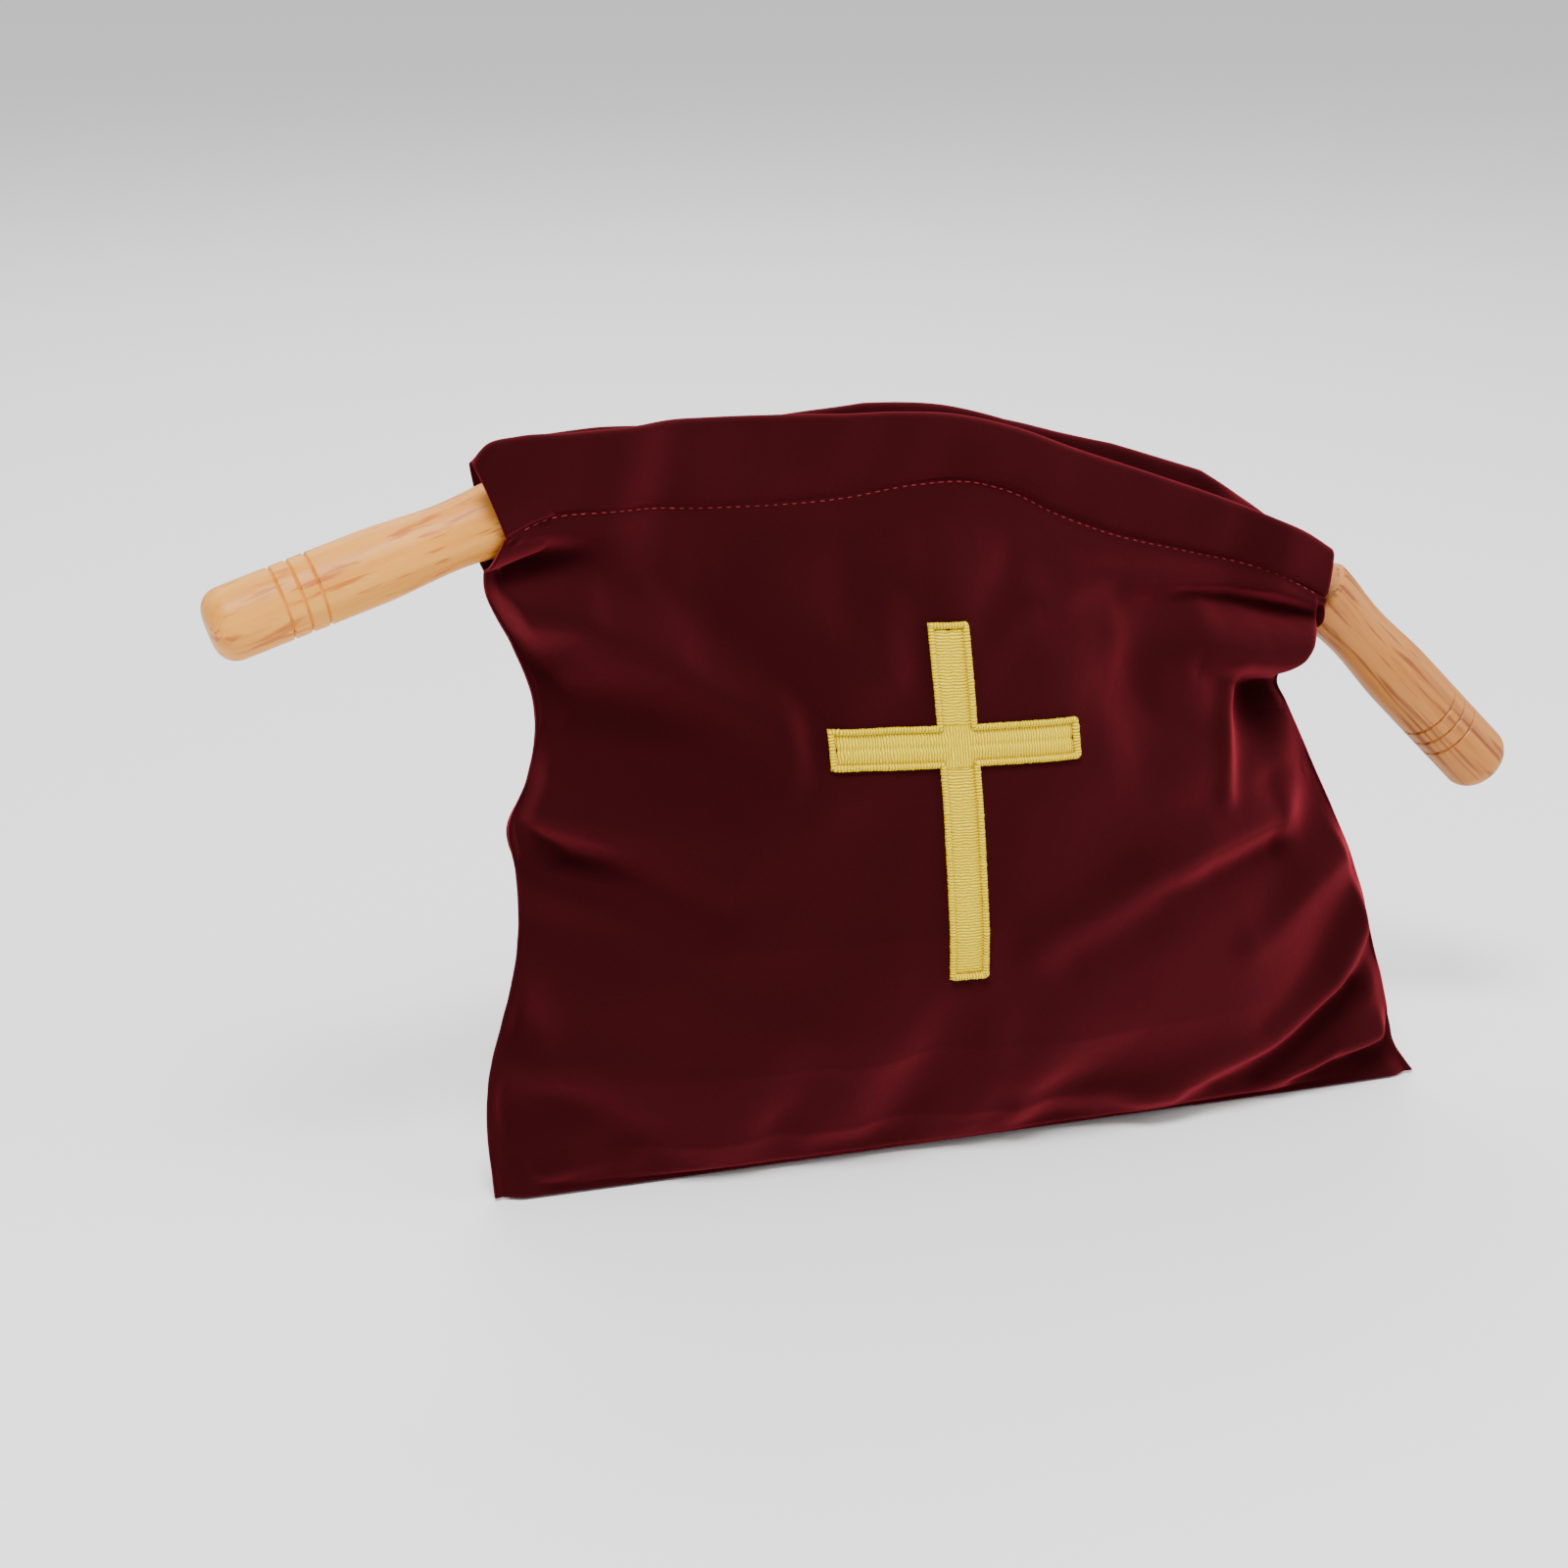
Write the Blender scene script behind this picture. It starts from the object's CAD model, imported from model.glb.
"""Offering bag: velvet, lining, stitching, embroidery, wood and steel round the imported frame.

Lengths in this script are millimetres in the frame's axes, and MM turns them into metres. Only
shaders, floor, lights and camera are given in metres.
"""

import math

import bpy
import numpy as np
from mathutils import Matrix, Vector
from mathutils.bvhtree import BVHTree


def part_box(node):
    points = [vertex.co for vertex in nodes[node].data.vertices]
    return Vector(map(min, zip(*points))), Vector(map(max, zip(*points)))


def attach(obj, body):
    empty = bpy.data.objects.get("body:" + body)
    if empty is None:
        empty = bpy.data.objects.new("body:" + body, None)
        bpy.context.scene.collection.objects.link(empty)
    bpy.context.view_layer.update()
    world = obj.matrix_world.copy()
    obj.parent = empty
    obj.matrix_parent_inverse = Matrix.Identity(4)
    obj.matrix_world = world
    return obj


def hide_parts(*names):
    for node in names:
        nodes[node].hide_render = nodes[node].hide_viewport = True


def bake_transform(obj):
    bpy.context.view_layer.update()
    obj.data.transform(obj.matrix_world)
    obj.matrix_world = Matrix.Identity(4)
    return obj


MM = 0.001
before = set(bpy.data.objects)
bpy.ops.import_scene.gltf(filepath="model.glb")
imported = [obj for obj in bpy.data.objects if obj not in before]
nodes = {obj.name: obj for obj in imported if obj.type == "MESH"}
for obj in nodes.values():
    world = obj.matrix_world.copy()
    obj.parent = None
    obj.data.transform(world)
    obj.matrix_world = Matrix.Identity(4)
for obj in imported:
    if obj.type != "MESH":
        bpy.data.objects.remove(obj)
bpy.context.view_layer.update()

# ---------------------------------------------------------------- the frame's own places


def centre(node):
    """The middle of a CAD node's box, in the plane of the mouth's chord."""
    low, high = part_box(node)
    middle = np.array((low + high) / 2) / MM
    return middle * (1, 0, 1)


PIVOTS = {side: centre(f"{side}_handle_pin") for side in ("left", "right")}
SPAN = float(np.linalg.norm(PIVOTS["right"] - PIVOTS["left"]))
ALONG = (PIVOTS["right"] - PIVOTS["left"]) / SPAN  # down the chord to the right
ABOVE = np.array((-ALONG[2], 0, ALONG[0]))  # square to the chord, towards the mouth
GRIP_RADIUS = 11.75  # at its thickest
GRIP_CLEARANCE = 2.6  # between a grip and the velvet, in every position of the grip
GRIP_START = (-12, 6)  # that clearance grows between these distances out from the pivot
SWING = {"left": (16.6, -10.7), "right": (45.9, 10.7)}  # droop in degrees, at rest and raised
OUTWARD = {"front": -1, "back": 1}  # along Y

SEAM_SETBACK = 20.0  # the bottom seam lies this far in front of the chord
SEAM_RISE = 210.0  # at this height the side seams are back under the chord
SEAM_SKEW = 0.045  # how much further forward it lies, per millimetre to the right
HEM_OFFSET = 7.0  # each hem's middle from the chord, across the mouth
HEM_HALF = 2.7  # half the thickness of a hem
LUG_FLARE = 5.5  # how much further out a hem goes round the lugs of its bow
LUG_REACH = (14, 36)  # from each end of the chord: full flare up to the first, none past the second
VELVET_THICK, LINING_THICK = 1.1, 0.5

# ---------------------------------------------------------------- the bag's outline

# (x, z) up each side, from the floor to the hem's stitching
LEFT_EDGE = [
    (-165, 1), (-166, 18), (-165, 42), (-160, 60), (-154, 84), (-153, 110), (-155, 126),
    (-148, 141), (-145, 166), (-151, 184), (-159, 205), (-158, 213), (-155, 222),
]
RIGHT_EDGE = [
    (165, 1), (158, 12), (155, 26), (149, 54), (142, 80), (130, 109), (117, 138), (114, 145),
    (122, 154), (128, 163), (127, 174),
]
# (distance along the chord, height above it)
STITCH_LINE = [
    (-16, -11), (-5, -4), (13, 0), (45, 3), (94, 11), (115, 17), (136, 20), (150, 18), (165, 13),
    (186, 8), (221, 4), (248, 1), (269, -6),
]
HEM_TOP = [
    (-30, 11), (-26.5, 16.5), (-17, 20), (0, 23), (33, 29.5), (85, 36.6), (130, 40.7), (147, 39),
    (171, 34), (205, 27.7), (240, 20.4), (260, 15), (269, 11),
]
# how much higher the back hem stands than the front one, by distance along the chord
BACK_HEM_RISE = ((-30, 60, 100, 150, 190, 225, 250, 273), (-6, -5, 0, 0, 4, 5, 0, -5))
BACK_HEM_SHORT = 7.0  # the back hem stops this much sooner at the left
BACK_HEM_END = (-30, 20)  # and is drawn back over this stretch of the chord

# how far the middle of each panel stands out from the seam plane, by height
HEIGHTS = (0, 4, 15, 42, 85, 125, 165, 200, 245)
STAND_OUT = {
    "front": (0, 9, 17, 26, 30, 28, 24, 19, 16),
    "back": (48, 51, 54, 56, 51, 41, 29, 19, 12),
}
CROWN_POWER = 2.3  # how flat a panel is across its middle

# Shares of a panel's height, between which it changes from one form to another
FLOOR_TURN = (0, 0.1)  # from the bag's floor to the back panel's rise
STRAIGHTENED = (0.94, 1)  # from folded cloth to a nearly straight row of stitching
STRAIGHTNESS = 0.95
NEAR_HEM = (0.86, 1)  # from the panel's own bulge to the hem's place
HEM_LEVEL = (0.95, 1)  # the same, at the side seams
PULLED_IN = (0.975, 1)  # to where the stitching draws the cloth in
PULL = 0.9  # by this many millimetres
# Shares of a panel's half width, counted from a side seam, over which something begins
FLOOR_EDGE = (0, 0.12)  # the flat floor
FOLD_EDGE = (0, 0.05)  # the folds
HEM_EDGE = (0, 0.03)  # the hem's influence
PULL_EDGE = (0, 0.1)  # the pull of the stitching
APART_EDGE = (0, 0.06)  # the room between the panels

FOLD_FOOT = (0, 10)  # the folds also grow over these heights above the floor

# Folds on each face: (x, z) points, height of the ridge (a valley is negative), half width, lean
# (one flank steeper), and strength at its first and last point.
FOLDS = {
    "front": [
        ([(-161, 209), (-142, 212), (-116, 216)], -12.0, 7.5, 0.0, 1.0, 0.0),
        ([(-160, 203), (-132, 196), (-104, 181), (-57, 148)], 12.0, 13.0, -0.4, 1.0, 0.4),
        ([(-150, 184), (-118, 168), (-84, 146)], -4.5, 13.0, 0.0, 0.6, 0.4),
        ([(-108, 206), (-63, 187), (-33, 172)], 4.0, 12.0, 0.0, 0.2, 0.6),
        ([(-52, 222), (-34, 215), (-18, 204)], 3.0, 11.0, 0.0, 0.6, 0.2),
        (
            [(-4, 178), (16, 190), (45, 193), (80, 189), (109, 182), (127, 174)],
            7.0, 7.0, -0.2, 0.2, 1.0,
        ),
        ([(50, 184), (92, 177), (126, 169)], -9.0, 5.5, 0.0, 0.1, 1.0),
        ([(48, 172), (80, 168), (104, 161), (126, 158)], 13.0, 11.0, -0.3, 0.2, 1.0),
        ([(70, 158), (92, 150), (112, 143)], -5.0, 5.0, 0.0, 0.1, 1.0),
        ([(99, 141), (102, 131), (105, 117)], -10.0, 9.0, 0.0, 1.0, 0.3),
        ([(91, 146), (87, 134), (84, 117)], 5.0, 5.0, 0.0, 0.8, 0.5),
        ([(8, 78), (30, 88), (51, 98), (75, 104), (108, 106)], 6.0, 9.0, -0.4, 0.3, 0.9),
        ([(24, 72), (60, 87), (104, 94)], -5.0, 9.0, 0.0, 0.3, 0.9),
        ([(92, 66), (118, 80), (138, 88)], 5.0, 8.0, -0.3, 0.3, 0.8),
        ([(58, 14), (100, 28), (126, 44), (144, 66)], 7.0, 8.0, -0.3, 0.3, 0.9),
        ([(84, 12), (112, 22), (136, 36)], -5.0, 6.0, 0.0, 0.3, 0.8),
        ([(106, 8), (130, 19), (156, 21)], 6.5, 6.0, -0.3, 0.5, 1.0),
        ([(118, 4), (138, 9), (154, 13)], -5.5, 5.5, 0.0, 0.6, 1.0),
        ([(-158, 121), (-127, 110), (-96, 96)], -9.0, 7.5, 0.25, 1.0, 0.25),
        ([(-152, 132), (-122, 121), (-92, 107)], 5.0, 9.0, 0.0, 0.9, 0.2),
        ([(-150, 148), (-130, 136)], 4.0, 7.0, 0.0, 1.0, 0.2),
        ([(-162, 62), (-130, 56)], -5.0, 9.0, 0.0, 1.0, 0.1),
        ([(-163, 32), (-112, 36)], -3.5, 11.0, 0.0, 1.0, 0.1),
        ([(-150, 8), (-121, 10)], 3.0, 5.0, 0.0, 0.8, 0.2),
        ([(10, 13), (38, 15), (66, 10)], 3.5, 6.0, 0.0, 0.5, 0.5),
    ],
    "back": [
        ([(-158, 207), (-120, 190), (-70, 168)], -6.0, 8.0, 0.3, 1.0, 0.2),
        ([(-150, 190), (-110, 168), (-60, 130)], 5.0, 10.0, 0.0, 0.8, 0.2),
        ([(122, 166), (80, 170), (20, 188)], -6.0, 7.0, 0.3, 1.0, 0.1),
        ([(122, 155), (80, 152), (30, 160)], 6.0, 9.0, 0.0, 0.8, 0.1),
        ([(112, 143), (84, 128), (40, 112)], -5.5, 7.0, 0.3, 1.0, 0.1),
        ([(-156, 120), (-120, 112), (-84, 96)], -5.0, 6.5, 0.0, 1.0, 0.2),
        ([(150, 60), (118, 48), (80, 28)], 5.0, 7.0, 0.3, 0.8, 0.2),
        ([(158, 20), (130, 22), (100, 12)], -6.0, 6.0, 0.0, 1.0, 0.2),
        ([(-162, 50), (-128, 46), (-92, 26)], 4.5, 7.0, 0.0, 0.9, 0.2),
    ],
}

FOLD_DEPTH = 1.15  # multiplies the height of every fold
FOLD_LEAN = 1.6  # how strongly a fold's lean makes one flank steeper
STIFFENED = 0.8  # the embroidery takes this share off the folds under it
STIFF_REACH = (-16, -2)  # by depth inside the cross's outline
RIPPLE_DEPTH = 0.9
HEM_RIPPLE_DEPTH = 0.5
RIPPLE_SEED = {"front": 3, "back": 5}
HEM_RIPPLE_SEED = {"front": 11, "back": 12}

LINING_GAP = 4.0  # between velvet and lining, where the bag is deep enough
LINING_SHARE = 0.4  # and at most this share of the room between the two panels
LINING_INSET = {"front": (14, 18), "back": (6, 12)}  # grid rows off the bottom, columns off a side
LINING_TOP = 8  # grid rows that it stays below the stitching
LINING_FOOT = (6, 25)  # the back lining is lifted by its gap below the first height, fading out
PANELS_APART = 6.0  # the least room between the two panels, away from their seams

PANEL_GRID = (301, 211)  # columns and rows of points on each panel
HEM_ROWS = (21, 10, 17)  # rows up the outside of a hem, over its top and down its inside
HEM_INSIDE_END = 0.04  # the inside stops this share of the height above the stitching
HEM_SWELL = 0.25  # how the outside swells, in half thicknesses
HEM_PINCH, PINCH_REACH = 0.55, 0.09  # and is pinched by the stitching, fading over that share

SIM_STEP = 3  # the simulation takes every third point of a panel
SIM_FRAMES = 20
SIM_CAP = 6.0  # no point moves further than this
SEAM_TOP = 0.9  # the side seams join the panels up to this share of their height
HELD_FROM = 0.94  # and above this share the simulation holds the cloth

# The embroidered cross: where its bars cross, and its sizes
CROSS_MIDDLE = (-15.2, 146.5)
CROSS_UP, CROSS_DOWN, CROSS_ARM = 38.5, 76.5, 42.0
CROSS_HALF = 6.7  # half a bar's width
CROSS_FALL = 0.05  # the arms fall to the right
CROSS_LEAN = 0.016  # the upright leans to the left
CROSS_RIM = 2.0  # width of the raised border
SATIN_STEP = 0.5  # the filling's grid
SATIN_FOOT, SATIN_HEIGHT = 0.05, 1.0
SATIN_EDGE = 3.0  # the filling reaches its height this far in from the border
CREASE_DEPTH, CREASE_HALF = 0.45, 0.7  # where the threads meet along the middle of each bar
CREASE_START = 0.6  # half widths of a bar from the crossing's middle
PIPING_STEP, PIPING_SIDES = 0.45, 10
PIPING_WIDE, PIPING_WIDE_SPREAD = 1.05, 0.06  # in halves of the border's width
PIPING_TALL, PIPING_TALL_SPREAD = 1.15, 0.07
PIPING_LIFT = 0.7
PIPING_SEED = 31

STITCH_PITCH, STITCH_LENGTH, STITCH_RADIUS = 3.1, 1.9, 0.27
STITCH_RINGS, STITCH_SIDES = 6, 8
STITCH_JITTER = 0.12
STITCH_MARGIN = 6.0  # the row of stitches starts and ends this far from the panel's sides
STITCH_SEED = {"front": 21, "back": 22}
STITCHES_PROUD = (30, 158)  # along the row; everywhere else the stitches sink into the pile
PROUD_REACH = 26  # how far from those two places the stitches still stand proud
STITCH_RAISE = 0.36  # the middle of a stitch there, above the others
STITCH_SUNK, STITCH_BITE = 0.08, 0.12  # how deep every stitch lies, at its middle and all along

# ---------------------------------------------------------------- curves


def polyline(points, samples=400):
    """A smooth curve through the points, sampled evenly by length."""
    knots = np.array(points, float)
    steps = np.linalg.norm(np.diff(knots, axis=0), axis=1)
    at = np.concatenate(([0], np.cumsum(steps)))
    slopes = np.gradient(knots, at, axis=0)
    t = np.linspace(0, at[-1], samples)
    index = np.clip(np.searchsorted(at, t, side="right") - 1, 0, len(at) - 2)
    gap = steps[index][:, None]
    f = ((t - at[index]) / steps[index])[:, None]
    return (
        (2 * f**3 - 3 * f**2 + 1) * knots[index]
        + (f**3 - 2 * f**2 + f) * gap * slopes[index]
        + (3 * f**2 - 2 * f**3) * knots[index + 1]
        + (f**3 - f**2) * gap * slopes[index + 1]
    )


def along_curve(curve, share):
    """Points at the given shares of a sampled curve's length."""
    steps = np.linalg.norm(np.diff(curve, axis=0), axis=1)
    at = np.concatenate(([0], np.cumsum(steps)))
    return np.stack([np.interp(share, at / at[-1], column) for column in curve.T], axis=-1)


def ramp(x, low, high):
    """0 below low, 1 above high, smooth between."""
    t = np.clip((np.asarray(x, float) - low) / (high - low), 0, 1)
    return t * t * (3 - 2 * t)


def from_chord(points):
    """(x, z) of points given along and above the chord."""
    origin = PIVOTS["left"]
    places = [origin + ALONG * t + ABOVE * h for t, h in points]
    return [(place[0], place[2]) for place in places]


def along_chord(x, z):
    """Distance from the left pivot along the chord."""
    dx, dz = x - PIVOTS["left"][0], z - PIVOTS["left"][2]
    return dx * ALONG[0] + dz * ALONG[2]


def distance_to(points, x, z):
    """Distance to a line of straight stretches, the share of its length at the nearest place, and
    the distance square to the stretch there, which is negative on one side."""
    best = np.full(x.shape, 1e9)
    share = np.zeros(x.shape)
    across = np.zeros(x.shape)
    line = np.array(points, float)
    lengths = np.linalg.norm(np.diff(line, axis=0), axis=1)
    done = 0.0
    for (ax, az), (bx, bz), length in zip(line[:-1], line[1:], lengths):
        ux, uz = (bx - ax) / length, (bz - az) / length
        s = np.clip((x - ax) * ux + (z - az) * uz, 0, length)
        ox, oz = x - ax - s * ux, z - az - s * uz
        d = np.hypot(ox, oz)
        nearer = d < best
        best = np.where(nearer, d, best)
        share = np.where(nearer, (done + s) / lengths.sum(), share)
        across = np.where(nearer, ux * oz - uz * ox, across)
        done += length
    return best, share, across


def ripple(x, z, seed, count=14, shortest=28, longest=90):
    """A gentle, seeded unevenness between about -1 and 1."""
    random = np.random.default_rng(seed)
    total = np.zeros(x.shape)
    for _ in range(count):
        angle, phase = random.uniform(0, 2 * math.pi, 2)
        size = random.uniform(shortest, longest)
        total += np.sin(2 * math.pi * (x * math.cos(angle) + z * math.sin(angle)) / size + phase)
    return total / math.sqrt(count)


def folds(side, x, z):
    """How far the folds move the cloth out from its smooth form."""
    out = RIPPLE_DEPTH * ripple(x, z, RIPPLE_SEED[side])
    for points, height, half, lean, first, last in FOLDS[side]:
        d, share, across = distance_to(points, x, z)
        near = np.exp(-((d / half) ** 2))
        strength = first + (last - first) * ramp(share, 0, 1)
        out += FOLD_DEPTH * height * strength * near * (1 + FOLD_LEAN * lean * across / half)
    if side == "front":
        out *= 1 - STIFFENED * ramp(cross_depth(*cross_coordinates(x, z)), *STIFF_REACH)
    return out


def cross_coordinates(x, z):
    """Places measured from where the cross's bars cross, along its own arms and upright."""
    p = x - CROSS_MIDDLE[0]
    return p, z - CROSS_MIDDLE[1] + CROSS_FALL * p


def cross_depth(p, q):
    """How deep a place lies inside the cross's outline; negative outside."""
    upright = np.minimum(CROSS_HALF - np.abs(p), np.minimum(CROSS_UP - q, q + CROSS_DOWN))
    arms = np.minimum(CROSS_HALF - np.abs(q), CROSS_ARM - np.abs(p))
    return np.maximum(upright, arms)


# ---------------------------------------------------------------- the velvet


def seam_plane(x, z):
    """The y where the two panels meet: the bottom seam lies forward, its right end further."""
    return -(SEAM_SETBACK + SEAM_SKEW * x) * (1 - z / SEAM_RISE)


def swept_grip(x, z):
    """How far the cloth has to stand out to clear both grips in all their positions."""
    need = np.zeros(x.shape)
    for side, (rest, raised) in SWING.items():
        outward = -1 if side == "left" else 1
        dx, dz = (x - PIVOTS[side][0]) * outward, z - PIVOTS[side][2]
        reach = np.hypot(dx, dz)
        angle = np.degrees(np.arctan2(-dz, dx))
        beyond = np.maximum(angle - rest, raised - angle)
        off = np.where(beyond > 0, reach * np.sin(np.radians(np.clip(beyond, 0, 90))), 0)
        off = np.where(beyond > 90, reach, off)
        radius = (GRIP_RADIUS + GRIP_CLEARANCE) * ramp(dx, *GRIP_START)
        need = np.maximum(need, np.sqrt(np.clip(radius**2 - off**2, 0, None)))
    return need


def outline_points(u, v):
    """(x, z) of the smooth panel at shares u across and v from the floor to the stitching."""
    left, right = (along_curve(polyline(edge), v) for edge in (LEFT_EDGE, RIGHT_EDGE))
    foot = np.stack([LEFT_EDGE[0][0] + (RIGHT_EDGE[0][0] - LEFT_EDGE[0][0]) * u, 1 + 0 * u], -1)
    head = along_curve(polyline(from_chord(STITCH_LINE)), u)
    corners = (foot[0], foot[-1], head[0], head[-1])
    grid_u, grid_v = u[None, :, None], v[:, None, None]
    sides = left[:, None] * (1 - grid_u) + right[:, None] * grid_u
    ends = foot[None] * (1 - grid_v) + head[None] * grid_v
    low = corners[0] * (1 - grid_u) + corners[1] * grid_u
    high = corners[2] * (1 - grid_u) + corners[3] * grid_u
    return sides + ends - low * (1 - grid_v) - high * grid_v


def hem_middle(x, z):
    """How far a hem's middle is from the chord plane: further out round the bow's lugs."""
    t = along_chord(x, z)
    full, none = LUG_REACH
    at_left = LUG_FLARE * (1 - ramp(t, full, none))
    at_right = LUG_FLARE * ramp(t, SPAN - none, SPAN - full)
    return HEM_OFFSET + at_left + at_right


def panel_points(side, columns, rows):
    """The velvet from the bottom seam up to the stitching."""
    u = np.linspace(0, 1, columns)
    v = np.linspace(0, 1, rows)
    out = OUTWARD[side]
    place = outline_points(u, v)
    x, z = place[..., 0], place[..., 1]
    across = np.abs(2 * u - 1)[None, :]
    inward = 1 - across  # 0 at the side seams, 1 halfway between them
    up = v[:, None]
    crown = 1 - across**CROWN_POWER
    depth = np.interp(z, HEIGHTS, STAND_OUT[side])
    if side == "back":  # the back panel also makes the bag's floor, out to the bottom seam
        turn = ramp(up, *FLOOR_TURN)
        depth = depth * np.sqrt(turn)
        flat = ramp(inward, *FLOOR_EDGE)
        z = z + flat * (1 + (z - 1) * turn**1.5 - z)
    bend = folds(side, x, z) * ramp(inward, *FOLD_EDGE) * ramp(z, *FOLD_FOOT)
    bend = bend * (1 - STRAIGHTNESS * ramp(up, *STRAIGHTENED))
    y = seam_plane(x, z) + out * (depth * crown)
    hem = out * (hem_middle(x, z) + HEM_HALF)
    near_hem = ramp(up, *NEAR_HEM)
    off_seams = np.maximum(ramp(inward, *HEM_EDGE), ramp(up, *HEM_LEVEL))
    pulled = PULL * ramp(up, *PULLED_IN) * ramp(inward, *PULL_EDGE)
    y = y + (hem - y) * near_hem * off_seams + out * (bend - pulled)
    need = swept_grip(x, z)
    y = np.where(need > 0, out * np.maximum(out * y, need), y)
    return np.stack([x, y, z], -1)


def hem_section():
    """A hem's rows: each one's share of the height up to the round top, its share of the round
    top's own rise, and its place across the hem, from 1 outside to -1 inside."""
    outside, arch, inside = HEM_ROWS
    rows = []
    for s in np.linspace(0, 1, outside + 1)[1:]:
        swell = HEM_SWELL * math.sin(math.pi * s)
        pinch = HEM_PINCH * math.exp(-((s / PINCH_REACH) ** 2))
        rows.append((s, 0.0, 1.0 + swell - pinch))
    rows += [(1, math.sin(a), math.cos(a)) for a in np.linspace(0, math.pi, arch + 1)[1:]]
    rows += [(s, 0.0, -1.0) for s in np.linspace(1, HEM_INSIDE_END, inside + 1)[1:]]
    return rows


def hem_points(side, start):
    """The hem: up the outside from the stitching, over its top, and down inside."""
    out = OUTWARD[side]
    top = along_curve(polyline(from_chord(HEM_TOP)), np.linspace(0, 1, len(start)))
    if side == "back":
        t = along_chord(top[:, 0], top[:, 1])
        top = top + np.interp(t, *BACK_HEM_RISE)[:, None] * ABOVE[[0, 2]]
        top = top + BACK_HEM_SHORT * (1 - ramp(t, *BACK_HEM_END))[:, None] * ALONG[[0, 2]]
    foot = start[:, [0, 2]]
    rise = top - foot
    crown = HEM_HALF / np.linalg.norm(rise, axis=1, keepdims=True)
    rows = []
    for share, arched, away in hem_section():
        place = foot + rise * (share * (1 - crown) + crown * arched)
        x, z = place[:, 0], place[:, 1]
        y = hem_middle(x, z) + away * HEM_HALF
        y = np.maximum(y, swept_grip(x, z) + (1 + away) * 0.5 * VELVET_THICK)
        waver = HEM_RIPPLE_DEPTH * ripple(x, z, HEM_RIPPLE_SEED[side], shortest=20, longest=60)
        rows.append(np.stack([x, out * (y + waver), z], -1))
    return np.stack(rows)


def mesh_from_faces(name, points, faces):
    """A smooth-shaded object from points in millimetres."""
    mesh = bpy.data.meshes.new(name)
    mesh.from_pydata((points * MM).tolist(), [], faces)
    mesh.update()
    piece = bpy.data.objects.new(name, mesh)
    bpy.context.scene.collection.objects.link(piece)
    mesh.shade_smooth()
    return piece


def grid_faces(index):
    """The four corners of every cell of a grid of vertex numbers."""
    quads = np.stack([index[:-1, :-1], index[:-1, 1:], index[1:, 1:], index[1:, :-1]], -1)
    return quads.reshape(-1, 4)


def evaluated(piece):
    """The object as it is with its modifiers."""
    return piece.evaluated_get(bpy.context.evaluated_depsgraph_get())


def cloth_piece(name, side, points, thickness):
    """A sheet of cloth over a grid of points, its thickness laid on the inside."""
    rows, columns = points.shape[:2]
    index = np.arange(rows * columns).reshape(rows, columns)
    piece = mesh_from_faces(name, points.reshape(-1, 3), grid_faces(index).tolist())
    if side == "back":
        piece.data.flip_normals()
    solid = piece.modifiers.new("thickness", "SOLIDIFY")
    solid.thickness = thickness * MM
    solid.offset = -1.0
    solid.use_rim = True
    bpy.context.view_layer.update()
    made = bpy.data.meshes.new_from_object(evaluated(piece))
    piece.modifiers.clear()
    piece.data = made
    return piece


# ---------------------------------------------------------------- the cloth simulation


def joined_grids(rows, columns):
    """Vertex numbers of the two panels' grids, which share the vertices along their seams."""
    count = rows * columns
    front = np.arange(count).reshape(rows, columns)
    joined = np.zeros((rows, columns), bool)
    joined[0] = True
    seam_top = int(rows * SEAM_TOP)
    joined[:seam_top, 0] = joined[:seam_top, -1] = True
    back = np.where(joined, front, -1)
    back[~joined] = count + np.arange((~joined).sum())
    return {"front": front, "back": back}, joined


def simulated_cloth(points, quads, held):
    """The sheet as a cloth that grows a little and is blown out, fixed at the held vertices."""
    mesh = bpy.data.meshes.new("billow")
    mesh.from_pydata((points * MM).tolist(), [], quads)
    cloth_sheet = bpy.data.objects.new("billow", mesh)
    bpy.context.scene.collection.objects.link(cloth_sheet)
    group = cloth_sheet.vertex_groups.new(name="held")
    for vertex in np.flatnonzero(held).tolist():
        group.add([vertex], 1.0, "REPLACE")
    modifier = cloth_sheet.modifiers.new("cloth", "CLOTH")
    settings = modifier.settings
    settings.quality = 5
    settings.mass = 0.3
    settings.tension_stiffness = settings.compression_stiffness = 12
    settings.shear_stiffness = 6
    settings.bending_stiffness = 4.0
    settings.shrink_min = -0.025
    settings.vertex_group_mass = "held"
    settings.use_pressure = True
    settings.uniform_pressure_force = 1.5
    settings.effector_weights.gravity = 0
    modifier.collision_settings.use_collision = False
    modifier.point_cache.frame_start = 1
    modifier.point_cache.frame_end = SIM_FRAMES + 4  # past the last frame that is used
    return cloth_sheet


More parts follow.
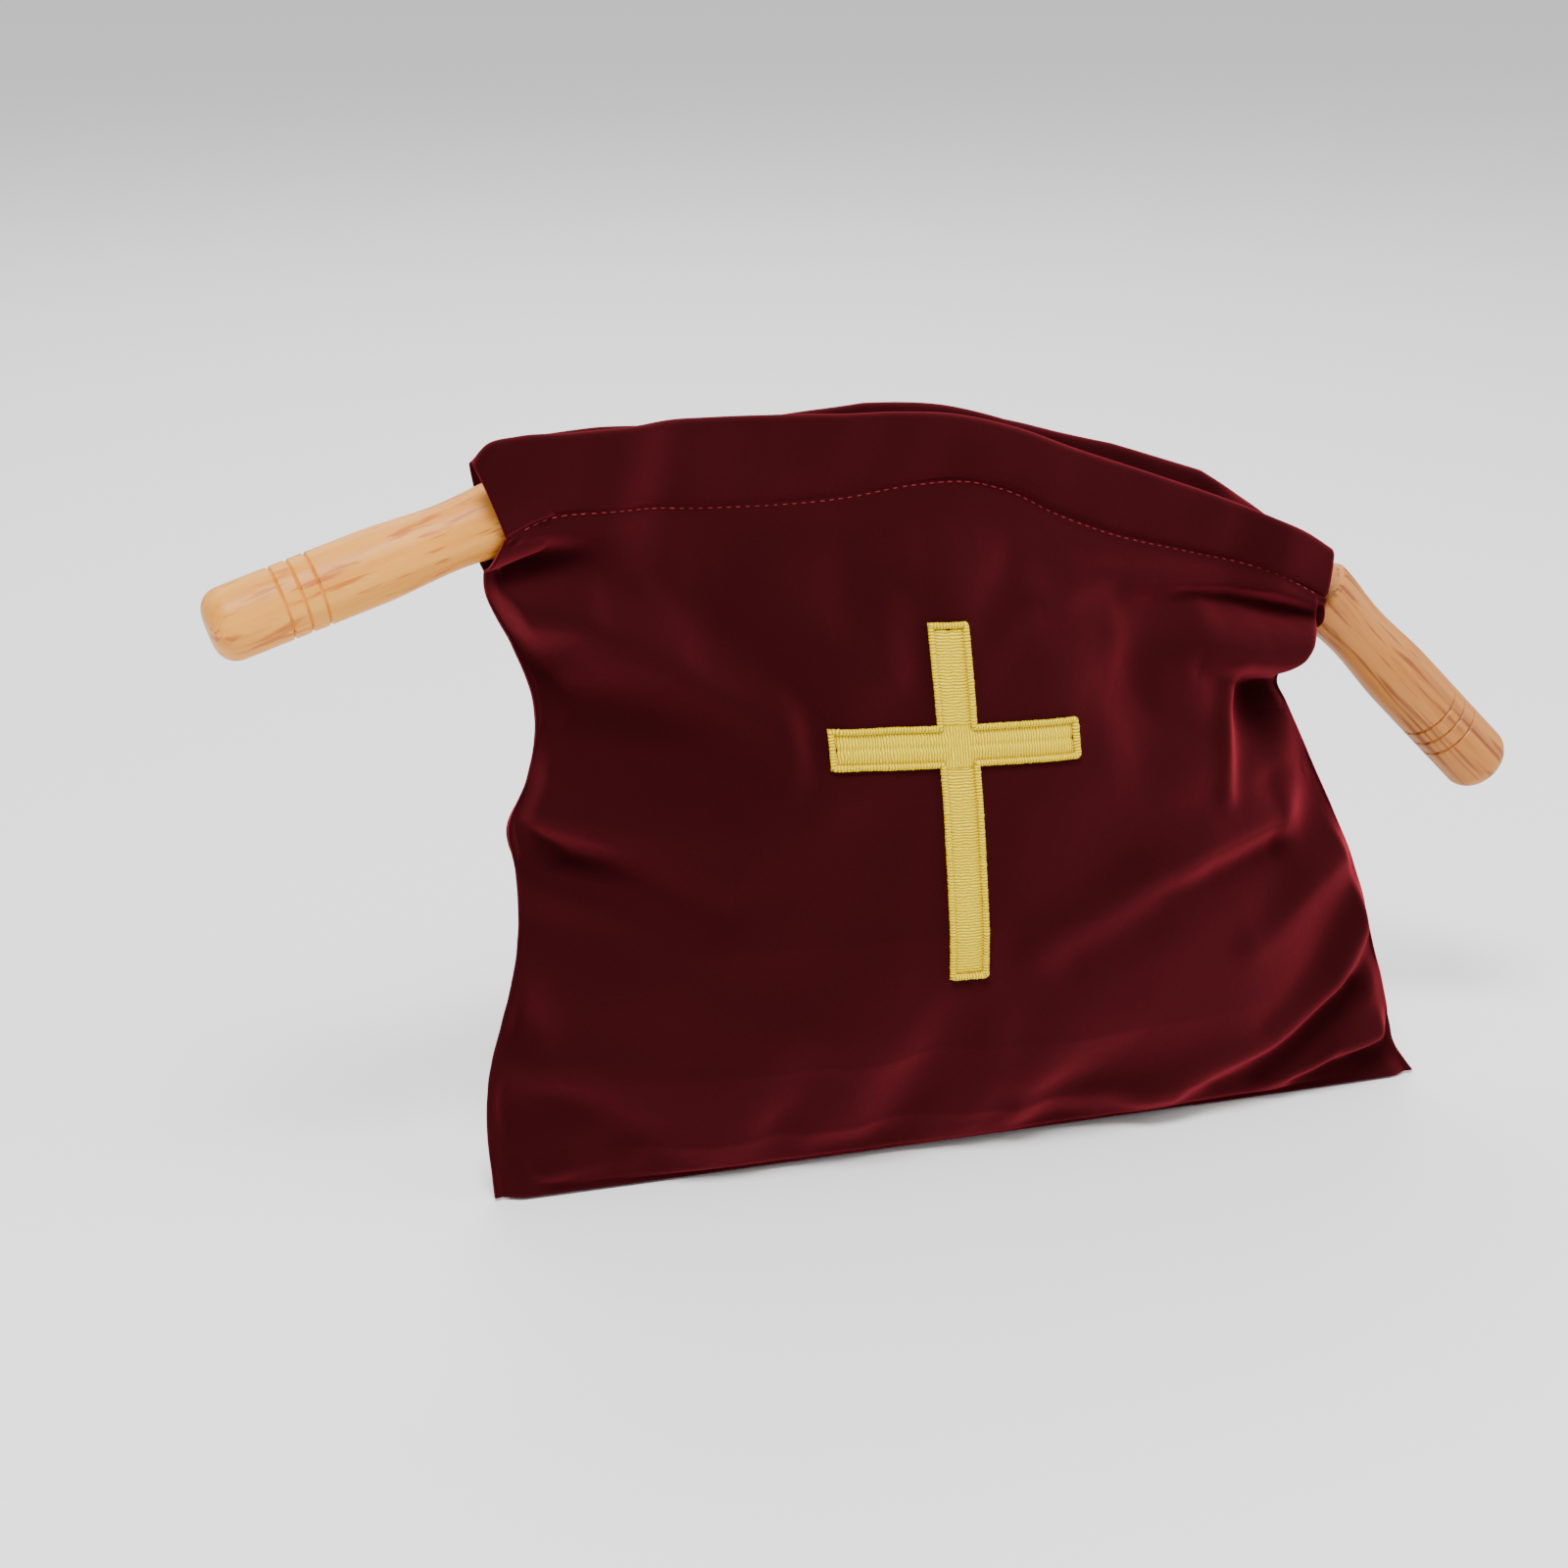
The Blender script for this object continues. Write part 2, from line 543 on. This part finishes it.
def billow(panels):
    """Blows out the joined panels, which are a little too large for their shape and so wrinkle
    between their seams. Returns how far each panel's points move."""
    coarse = {side: points[::SIM_STEP, ::SIM_STEP] for side, points in panels.items()}
    rows, columns = coarse["front"].shape[:2]
    index, joined = joined_grids(rows, columns)
    points = np.concatenate([coarse["front"].reshape(-1, 3), coarse["back"][~joined]])
    quads = grid_faces(index["front"]).tolist() + grid_faces(index["back"])[:, ::-1].tolist()
    held = np.zeros(len(points))
    for grid in index.values():
        held[grid[int(rows * HELD_FROM):]] = 1
        held[grid[:2]] = 1
        held[grid[:, 0]] = held[grid[:, -1]] = 1
    blown = simulated_cloth(points, quads, held)
    scene = bpy.context.scene
    for number in range(1, SIM_FRAMES + 1):
        scene.frame_set(number)
    final = np.array([v.co for v in evaluated(blown).data.vertices]) / MM
    scene.frame_set(1)
    bpy.data.objects.remove(blown)
    moved = final - points
    size = np.linalg.norm(moved, axis=1, keepdims=True)
    moved *= SIM_CAP * np.tanh(size / SIM_CAP) / np.maximum(size, 1e-6)
    return {side: spread(evened(moved[index[side]]), panels[side].shape[:2]) for side in panels}


def evened(moved, passes=4):
    """The movement without its finest wrinkles, which velvet is too thick to hold."""
    for _ in range(passes):
        padded = np.pad(moved, ((1, 1), (1, 1), (0, 0)), mode="edge")
        around = padded[:-2, 1:-1] + padded[2:, 1:-1] + padded[1:-1, :-2] + padded[1:-1, 2:]
        moved = 0.5 * moved + 0.125 * around
    return moved


def spread(coarse, shape):
    """Values on the coarse grid, filled in to the fine one by a cubic through each four."""
    for axis, count in enumerate(shape):
        values = np.moveaxis(coarse, axis, 0)
        t = np.linspace(0, len(values) - 1, count)
        i = np.clip(t.astype(int), 0, len(values) - 2)
        f = (t - i)[:, None, None]
        before = values[np.clip(i - 1, 0, None)]
        after = values[np.clip(i + 2, None, len(values) - 1)]
        a, b = values[i], values[i + 1]
        square = 2 * before - 5 * a + 4 * b - after
        cube = 3 * (a - b) + after - before
        filled = a + 0.5 * f * (b - before + f * (square + f * cube))
        coarse = np.moveaxis(filled, 0, axis)
    return coarse


def keep_apart(panels):
    """Moves the two panels clear of each other where deep folds bring them together."""
    front, back = panels["front"], panels["back"]
    across = np.abs(np.linspace(-1, 1, front.shape[1]))[None, :]
    wanted = PANELS_APART * ramp(1 - across, *APART_EDGE)
    lacking = np.maximum(wanted - (back[..., 1] - front[..., 1]), 0) / 2
    front[..., 1] -= lacking
    back[..., 1] += lacking


# ---------------------------------------------------------------- velvet, lining and stitches


def velvet(side, panel):
    """One face of the bag, hem and all."""
    sheet = np.concatenate([panel, hem_points(side, panel[-1])])
    return cloth_piece(f"{side}_velvet", side, sheet, VELVET_THICK)


def lining(side, panels):
    """The loose lining, sewn in under the hem, inside the velvet's own folds."""
    room = np.abs(panels["back"][..., 1] - panels["front"][..., 1])
    points = panels[side].copy()
    points[..., 1] -= OUTWARD[side] * np.minimum(LINING_GAP, LINING_SHARE * room)
    low, edge = LINING_INSET[side]
    points = points[low:-LINING_TOP:2, edge:-edge:2]
    if side == "back":
        points[..., 2] += LINING_GAP * (1 - ramp(points[..., 2], *LINING_FOOT))
    return cloth_piece(f"{side}_lining_cloth", side, points, LINING_THICK)


def stitches(side, row):
    """Short straight stitches that close the hem, each a slim rounded thread."""
    length = np.linalg.norm(np.diff(row, axis=0), axis=1).sum()
    random = np.random.default_rng(STITCH_SEED[side])
    side_way = np.array((0, OUTWARD[side], 0.0))
    points, faces = [], []
    for start in np.arange(STITCH_MARGIN, length - STITCH_MARGIN, STITCH_PITCH):
        nearness = max(math.exp(-(((start - at) / PROUD_REACH) ** 2)) for at in STITCHES_PROUD)
        proud = STITCH_RAISE * nearness - STITCH_SUNK
        ends = start + np.array((0, STITCH_LENGTH)) + random.normal(0, STITCH_JITTER, 2)
        a, b = along_curve(row, ends / length)
        up = np.cross((b - a) / np.linalg.norm(b - a), side_way)
        base = len(points)
        for ring in range(STITCH_RINGS):
            t = ring / (STITCH_RINGS - 1)
            swell = math.sqrt(max(1 - (2 * t - 1) ** 4, 0.04))
            spot = a + (b - a) * t + side_way * (proud * swell - STITCH_BITE)
            for k in range(STITCH_SIDES):
                turn = 2 * math.pi * k / STITCH_SIDES
                spoke = math.cos(turn) * side_way + math.sin(turn) * up
                points.append(spot + STITCH_RADIUS * swell * spoke)
        for ring in range(STITCH_RINGS - 1):
            near = base + ring * STITCH_SIDES
            far = near + STITCH_SIDES
            for k in range(STITCH_SIDES):
                after = (k + 1) % STITCH_SIDES
                faces.append((near + k, near + after, far + after, far + k))
        last = base + (STITCH_RINGS - 1) * STITCH_SIDES
        faces.append(tuple(base + k for k in reversed(range(STITCH_SIDES))))
        faces.append(tuple(last + k for k in range(STITCH_SIDES)))
    return mesh_from_faces(f"{side}_hem_stitches", np.array(points), faces)


# ---------------------------------------------------------------- the embroidery


def cross_place(p, q):
    """(x, z) of a place measured along the cross's arms and its leaning upright."""
    return CROSS_MIDDLE[0] + p - CROSS_LEAN * q, CROSS_MIDDLE[1] + q - CROSS_FALL * p


def on_cloth(tree, x, z):
    """The place on the front velvet straight behind (x, z), and the cloth's normal there."""
    place, normal, _, _ = tree.ray_cast(Vector((x * MM, -0.2, z * MM)), Vector((0, 1, 0)))
    if normal.y > 0:
        normal = -normal
    return np.array(place) / MM, np.array(normal)


def mark_thread(piece, values):
    """Stores the distance along the threads at each vertex, for the satin's colour and bump."""
    along = piece.data.attributes.new("thread", "FLOAT", "POINT")
    along.data.foreach_set("value", values)


def cross_filling(tree):
    """Padded satin stitch: a grid over the cross, crowned, with a crease along each bar.

    The upright's crease reaches as far from the crossing as the arms do.
    """
    ps = np.arange(-CROSS_ARM, CROSS_ARM + SATIN_STEP / 2, SATIN_STEP)
    qs = np.arange(-CROSS_DOWN, CROSS_UP + SATIN_STEP / 2, SATIN_STEP)
    index, points, faces, thread = {}, [], [], []

    def vertex(i, j):
        if (i, j) in index:
            return index[i, j]
        p, q = ps[i], qs[j]
        in_upright = abs(p) <= CROSS_HALF and abs(q) > CROSS_HALF
        off = abs(p) if in_upright else abs(q)
        padding = max(min((float(cross_depth(p, q)) - CROSS_RIM) / SATIN_EDGE, 1), 0)
        height = SATIN_FOOT + SATIN_HEIGHT * math.sqrt(padding)
        if abs(q) < CROSS_ARM and max(abs(p), abs(q)) > CROSS_HALF * CREASE_START:
            height -= CREASE_DEPTH * math.exp(-((off / CREASE_HALF) ** 2))
        place, normal = on_cloth(tree, *cross_place(p, q))
        points.append(place + normal * height)
        thread.append(q if in_upright else p)
        index[i, j] = len(points) - 1
        return index[i, j]

    for i in range(len(ps) - 1):
        for j in range(len(qs) - 1):
            if cross_depth(ps[i] + SATIN_STEP / 2, qs[j] + SATIN_STEP / 2) > 0:
                corners = ((i, j), (i + 1, j), (i + 1, j + 1), (i, j + 1))
                faces.append(tuple(vertex(*corner) for corner in corners))
    piece = mesh_from_faces("cross_satin", np.array(points), faces)
    mark_thread(piece, thread)
    return piece


def cross_outline():
    """The twelve corners of the cross's border, half a border in from its edge."""
    r = CROSS_RIM / 2
    a, h, u, d = CROSS_ARM - r, CROSS_HALF - r, CROSS_UP - r, CROSS_DOWN - r
    return [
        (-h, u), (h, u), (h, h), (a, h), (a, -h), (h, -h),
        (h, -d), (-h, -d), (-h, -h), (-a, -h), (-a, h), (-h, h),
    ]


def cross_piping(tree):
    """The border: a raised cord of close threads laid round the cross."""
    corners = np.array(cross_outline() + cross_outline()[:1])
    path = []
    for a, b in zip(corners[:-1], corners[1:]):
        count = max(int(np.linalg.norm(b - a) / PIPING_STEP), 2)
        path += [a + (b - a) * k / count for k in range(count)]
    path = np.array(path)
    smooth = (np.roll(path, 1, 0) + 2 * path + np.roll(path, -1, 0)) / 4
    random = np.random.default_rng(PIPING_SEED)
    points, distance = [], []
    total = 0.0
    for k, (p, q) in enumerate(smooth):
        ahead = smooth[(k + 1) % len(smooth)] - smooth[k - 1]
        across = np.array((ahead[1], -ahead[0])) / np.linalg.norm(ahead)
        place, normal = on_cloth(tree, *cross_place(p, q))
        wide = CROSS_RIM / 2 * (PIPING_WIDE + PIPING_WIDE_SPREAD * random.normal())
        tall = PIPING_TALL * (1 + PIPING_TALL_SPREAD * random.normal())
        total += float(np.linalg.norm(ahead)) / 2
        for n in range(PIPING_SIDES):
            turn = 2 * math.pi * n / PIPING_SIDES
            shift = across * wide * math.cos(turn)
            lift = normal * (PIPING_LIFT + tall * math.sin(turn))
            points.append(place + np.array((shift[0], 0, shift[1])) + lift)
            distance.append(total)
    count = len(smooth)
    faces = []
    for k in range(count):
        here, ahead = k * PIPING_SIDES, (k + 1) % count * PIPING_SIDES
        for n in range(PIPING_SIDES):
            m = (n + 1) % PIPING_SIDES
            faces.append((here + n, here + m, ahead + m, ahead + n))
    piece = mesh_from_faces("cross_piping", np.array(points), faces)
    mark_thread(piece, distance)
    return piece


def hang(piece):
    """The piece bends from the bag to the hem's frame as the mouth opens."""
    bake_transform(piece)


# ---------------------------------------------------------------- materials


def new_material(name, base, roughness, **settings):
    """A principled material; settings are further inputs, with _ for the spaces in their names."""
    material = bpy.data.materials.new(name)
    material.use_nodes = True
    shader = material.node_tree.nodes["Principled BSDF"]
    shader.inputs["Base Color"].default_value = (*base, 1)
    shader.inputs["Roughness"].default_value = roughness
    for key, value in settings.items():
        shader.inputs[key.replace("_", " ")].default_value = value
    return material, material.node_tree, shader


def add(tree, kind, **values):
    """A shader node with its properties and inputs set; _ stands for a space in an input's name."""
    node = tree.nodes.new(kind)
    for key, value in values.items():
        if hasattr(node, key):
            setattr(node, key, value)
        else:
            node.inputs[key.replace("_", " ")].default_value = value
    return node


def object_scaled(tree, scale):
    """Object coordinates, in metres, stretched along each axis."""
    place = add(tree, "ShaderNodeTexCoord")
    mapping = add(tree, "ShaderNodeMapping", Scale=scale)
    tree.links.new(place.outputs["Object"], mapping.inputs["Vector"])
    return mapping.outputs["Vector"]


def noise(tree, vector, scale, detail=2.0, roughness=0.5):
    """A noise's strength at the vector."""
    node = add(tree, "ShaderNodeTexNoise", Scale=scale, Detail=detail, Roughness=roughness)
    tree.links.new(vector, node.inputs["Vector"])
    return node.outputs["Fac"]


def colour_ramp(tree, factor, stops):
    """The colour that (position, colour) stops give for a factor."""
    node = add(tree, "ShaderNodeValToRGB")
    elements = node.color_ramp.elements
    while len(elements) < len(stops):
        elements.new(0.5)
    for element, (position, colour) in zip(elements, stops):
        element.position = position
        element.color = (*colour, 1)
    tree.links.new(factor, node.inputs["Fac"])
    return node.outputs["Color"]


def bump(tree, shader, height, strength, distance, under=None):
    """Gives the shader a bump, laid over an earlier one if there is one under it."""
    node = add(tree, "ShaderNodeBump", Strength=strength, Distance=distance)
    tree.links.new(height, node.inputs["Height"])
    if under is not None:
        tree.links.new(under, node.inputs["Normal"])
    tree.links.new(node.outputs["Normal"], shader.inputs["Normal"])
    return node.outputs["Normal"]


VELVET_STOPS = [
    (0.3, (0.0145, 0.0012, 0.0018)),
    (0.55, (0.0165, 0.0014, 0.0021)),
    (0.75, (0.019, 0.0016, 0.0024)),
]
LINING_STOPS = [(0.3, (0.03, 0.0026, 0.0042)), (0.7, (0.042, 0.0036, 0.006))]
SATIN_STOPS = [(0.0, (0.36, 0.22, 0.0)), (0.4, (0.74, 0.51, 0.0)), (1.0, (0.92, 0.70, 0.0))]
STEEL_STOPS = [(0.3, (0.45, 0.45, 0.47)), (0.7, (0.66, 0.66, 0.68))]
THREAD_RED = (0.12, 0.005, 0.011)
THREAD_STOPS = [(0.3, THREAD_RED), (0.7, tuple(1.5 * value for value in THREAD_RED))]
WOOD_STOPS = {
    "left": [
        (0.25, (0.48, 0.15, 0.012)),
        (0.45, (0.66, 0.25, 0.022)),
        (0.62, (0.74, 0.32, 0.04)),
        (0.8, (0.56, 0.2, 0.018)),
    ],
    "right": [
        (0.25, (0.22, 0.065, 0.009)),
        (0.42, (0.41, 0.14, 0.02)),
        (0.58, (0.51, 0.19, 0.03)),
        (0.75, (0.3, 0.092, 0.012)),
    ],
}
WOOD_STREAK = {"left": (0.62, 0.33, 0.12), "right": (0.4, 0.2, 0.09)}
WOOD_RUN = {"left": 55, "right": 20}  # the smaller, the longer the grain's streaks
SATIN_PITCH = 0.95  # from one thread to the next


def velvet_material():
    """Dark pile that turns bright where it is seen at a grazing angle."""
    material, tree, shader = new_material(
        "burgundy_velvet",
        (0.022, 0.0018, 0.0027),
        1.0,
        Specular_IOR_Level=0.03,
        Sheen_Weight=1.0,
        Sheen_Roughness=0.5,
        Sheen_Tint=(0.39, 0.03, 0.05, 1),
    )
    plain = object_scaled(tree, (1, 1, 1))
    nap = noise(tree, plain, 14.0, 3.0, 0.5)
    tree.links.new(colour_ramp(tree, nap, VELVET_STOPS), shader.inputs["Base Color"])
    pile = bump(tree, shader, noise(tree, plain, 2600.0, 2.0, 0.6), 0.35, 0.0003)
    bump(tree, shader, noise(tree, plain, 220.0, 3.0, 0.5), 0.12, 0.0012, under=pile)
    return material


def lining_material():
    """Plain matt cloth."""
    material, tree, shader = new_material(
        "lining_cloth", (0.035, 0.003, 0.005), 0.85, Specular_IOR_Level=0.1
    )
    plain = object_scaled(tree, (1, 1, 1))
    colour = colour_ramp(tree, noise(tree, plain, 60.0), LINING_STOPS)
    tree.links.new(colour, shader.inputs["Base Color"])
    bump(tree, shader, noise(tree, plain, 1800.0), 0.3, 0.0002)
    return material


def wood_material(side):
    """Turned hardwood, its grain along the grip, with darker pores and a thin lacquer."""
    material, tree, shader = new_material(
        f"{side}_wood",
        WOOD_STOPS[side][1][1],
        0.5,
        Specular_IOR_Level=0.3,
        Coat_Weight=0.04,
        Coat_Roughness=0.3,
    )
    run = WOOD_RUN[side]
    droop = SWING[side][0]
    turn = math.radians(droop if side == "left" else -droop)
    place = add(tree, "ShaderNodeTexCoord")
    level = add(tree, "ShaderNodeMapping", Rotation=(0, turn, 0))
    tree.links.new(place.outputs["Object"], level.inputs["Vector"])
    long = add(tree, "ShaderNodeMapping", Scale=(run / 8, 60, 60))
    tree.links.new(level.outputs["Vector"], long.inputs["Vector"])
    grain = noise(tree, long.outputs["Vector"], 2.2, 5.0, 0.62)
    base = colour_ramp(tree, grain, WOOD_STOPS[side])
    pores = add(tree, "ShaderNodeMapping", Scale=(run, 430, 430))
    tree.links.new(level.outputs["Vector"], pores.inputs["Vector"])
    fleck = noise(tree, pores.outputs["Vector"], 1.0, 2.0, 0.5)
    dark = colour_ramp(tree, fleck, [(0.56, (1, 1, 1)), (0.66, WOOD_STREAK[side])])
    mix = add(tree, "ShaderNodeMix", data_type="RGBA", blend_type="MULTIPLY")
    mix.inputs["Factor"].default_value = 0.75
    tree.links.new(base, mix.inputs["A"])
    tree.links.new(dark, mix.inputs["B"])
    tree.links.new(mix.outputs["Result"], shader.inputs["Base Color"])
    bump(tree, shader, fleck, 0.12, 0.0003)
    return material


def satin_material():
    """Yellow satin stitch: close threads side by side, found from the thread attribute."""
    material, tree, shader = new_material(
        "yellow_satin", (0.8, 0.58, 0.035), 0.42, Specular_IOR_Level=0.08
    )
    place = add(tree, "ShaderNodeAttribute", attribute_name="thread")
    turns = add(tree, "ShaderNodeMath", operation="MULTIPLY")
    turns.inputs[1].default_value = 2 * math.pi / SATIN_PITCH
    tree.links.new(place.outputs["Fac"], turns.inputs[0])
    wander = noise(tree, object_scaled(tree, (1, 1, 1)), 420.0, 2.0)
    sway = add(tree, "ShaderNodeMath", operation="MULTIPLY_ADD")
    sway.inputs[1].default_value = 7.0
    tree.links.new(wander, sway.inputs[0])
    tree.links.new(turns.outputs[0], sway.inputs[2])
    wave = add(tree, "ShaderNodeMath", operation="SINE")
    tree.links.new(sway.outputs[0], wave.inputs[0])
    lift = add(tree, "ShaderNodeMath", operation="MULTIPLY_ADD")
    lift.inputs[1].default_value = 0.5
    lift.inputs[2].default_value = 0.5
    tree.links.new(wave.outputs[0], lift.inputs[0])
    colour = colour_ramp(tree, lift.outputs[0], SATIN_STOPS)
    tree.links.new(colour, shader.inputs["Base Color"])
    bump(tree, shader, lift.outputs[0], 0.7, 0.0004)
    return material


def thread_material():
    """The hem's sewing thread, a little brighter than the velvet."""
    material, tree, shader = new_material(
        "burgundy_thread",
        THREAD_RED,
        0.55,
        Specular_IOR_Level=0.15,
        Sheen_Weight=0.2,
        Sheen_Tint=(0.6, 0.02, 0.04, 1),
    )
    plain = object_scaled(tree, (1, 1, 1))
    colour = colour_ramp(tree, noise(tree, plain, 500.0), THREAD_STOPS)
    tree.links.new(colour, shader.inputs["Base Color"])
    bump(tree, shader, noise(tree, plain, 3000.0), 0.4, 0.0002)
    return material


def steel_material():
    """Zinc-coloured steel, faintly streaked."""
    material, tree, shader = new_material("zinc_steel", (0.55, 0.55, 0.57), 0.35, Metallic=1.0)
    streaks = noise(tree, object_scaled(tree, (1, 1, 12)), 300.0, 3.0)
    tree.links.new(colour_ramp(tree, streaks, STEEL_STOPS), shader.inputs["Base Color"])
    bump(tree, shader, streaks, 0.1, 0.0002)
    return material


def paint(piece, material):
    """Gives a piece its only material."""
    piece.data.materials.clear()
    piece.data.materials.append(material)


def repaint(node, material):
    """Puts one material in every slot that a CAD node has."""
    for slot in range(len(node.data.materials)):
        node.data.materials[slot] = material


# ---------------------------------------------------------------- building the pieces

cloth = velvet_material()
steel = steel_material()
sewing = thread_material()
satin = satin_material()
inner = lining_material()

for name, node in nodes.items():
    if any(word in name for word in ("pin", "link", "tongue", "bow")):
        repaint(node, steel)
for side in ("left", "right"):
    repaint(nodes[f"{side}_grip"], wood_material(side))

panels = {side: panel_points(side, *PANEL_GRID) for side in ("front", "back")}
for side, moved in billow(panels).items():
    panels[side] = panels[side] + moved
keep_apart(panels)

# the CAD's seams and stiff backing have no piece of their own: velvet and lining stand for them
for side, panel in panels.items():
    piece = velvet(side, panel)
    if side == "front":
        tree = BVHTree.FromObject(piece, bpy.context.evaluated_depsgraph_get())
    paint(piece, cloth)
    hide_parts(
        f"{side}_panel", f"{side}_casing", f"{'left' if side == 'front' else 'right'}_side_seam"
    )
    thread = stitches(side, panel[-1])
    paint(thread, sewing)
    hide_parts(f"{side}_casing_stitching")
    inside = lining(side, panels)
    paint(inside, inner)
    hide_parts(f"{side}_lining", "bottom_seam" if side == "back" else "embroidery_backing")
    for part in (piece, thread, inside):
        hang(part)

for make, node in ((cross_filling, "cross_fill"), (cross_piping, "cross_border")):
    piece = make(tree)
    paint(piece, satin)
    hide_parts(node)
    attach(piece, "bag")

# ---------------------------------------------------------------- floor, light and camera

FLOOR_REACH = 6.0  # each way
FLOOR_CORNERS = [(-1, -1), (1, -1), (1, 1), (-1, 1)]
SKY_STRENGTH = 0.78
LIT_PLACE = (0, 0, 0.12)  # all lights look at the middle of the bag
# name, place, width of the square and power in watts
LIGHTS = [
    ("key", (-0.4, -0.7, 1.7), 0.6, 46),
    ("fill", (1.3, -0.5, 0.7), 1.0, 10),
    ("rim", (0.2, 1.2, 1.3), 1.0, 16),
]
CAMERA_PLACE = (-0.40861, -0.95645, 0.49705)
CAMERA_AIM = (-0.06049, 0, 0.12659)
CAMERA_LENS, CAMERA_SENSOR = 76.5, 36  # millimetres


def turned_towards(place, target):
    """The rotation that makes a light or camera at the place look at the target."""
    return (Vector(target) - Vector(place)).to_track_quat("-Z", "Y").to_euler()


floor_mesh = bpy.data.meshes.new("floor")
corners = [(FLOOR_REACH * x, FLOOR_REACH * y, 0) for x, y in FLOOR_CORNERS]
floor_mesh.from_pydata(corners, [], [(0, 1, 2, 3)])
floor = bpy.data.objects.new("floor", floor_mesh)
bpy.context.scene.collection.objects.link(floor)
paint(floor, new_material("pale_floor", (0.93, 0.93, 0.93), 0.9)[0])

world = bpy.data.worlds.new("studio")
world.use_nodes = True
world.node_tree.nodes["Background"].inputs["Color"].default_value = (1, 1, 1, 1)
world.node_tree.nodes["Background"].inputs["Strength"].default_value = SKY_STRENGTH
bpy.context.scene.world = world

for name, place, width, power in LIGHTS:
    light = bpy.data.lights.new(name, "AREA")
    light.shape = "SQUARE"
    light.size = width
    light.energy = power
    lamp = bpy.data.objects.new(name, light)
    lamp.location = place
    lamp.rotation_euler = turned_towards(place, LIT_PLACE)
    bpy.context.scene.collection.objects.link(lamp)

camera_data = bpy.data.cameras.new("camera")
camera_data.lens = CAMERA_LENS
camera_data.sensor_width = CAMERA_SENSOR
camera_data.clip_start = 0.01
camera = bpy.data.objects.new("camera", camera_data)
camera.location = CAMERA_PLACE
camera.rotation_euler = turned_towards(CAMERA_PLACE, CAMERA_AIM)
bpy.context.scene.collection.objects.link(camera)
bpy.context.scene.camera = camera
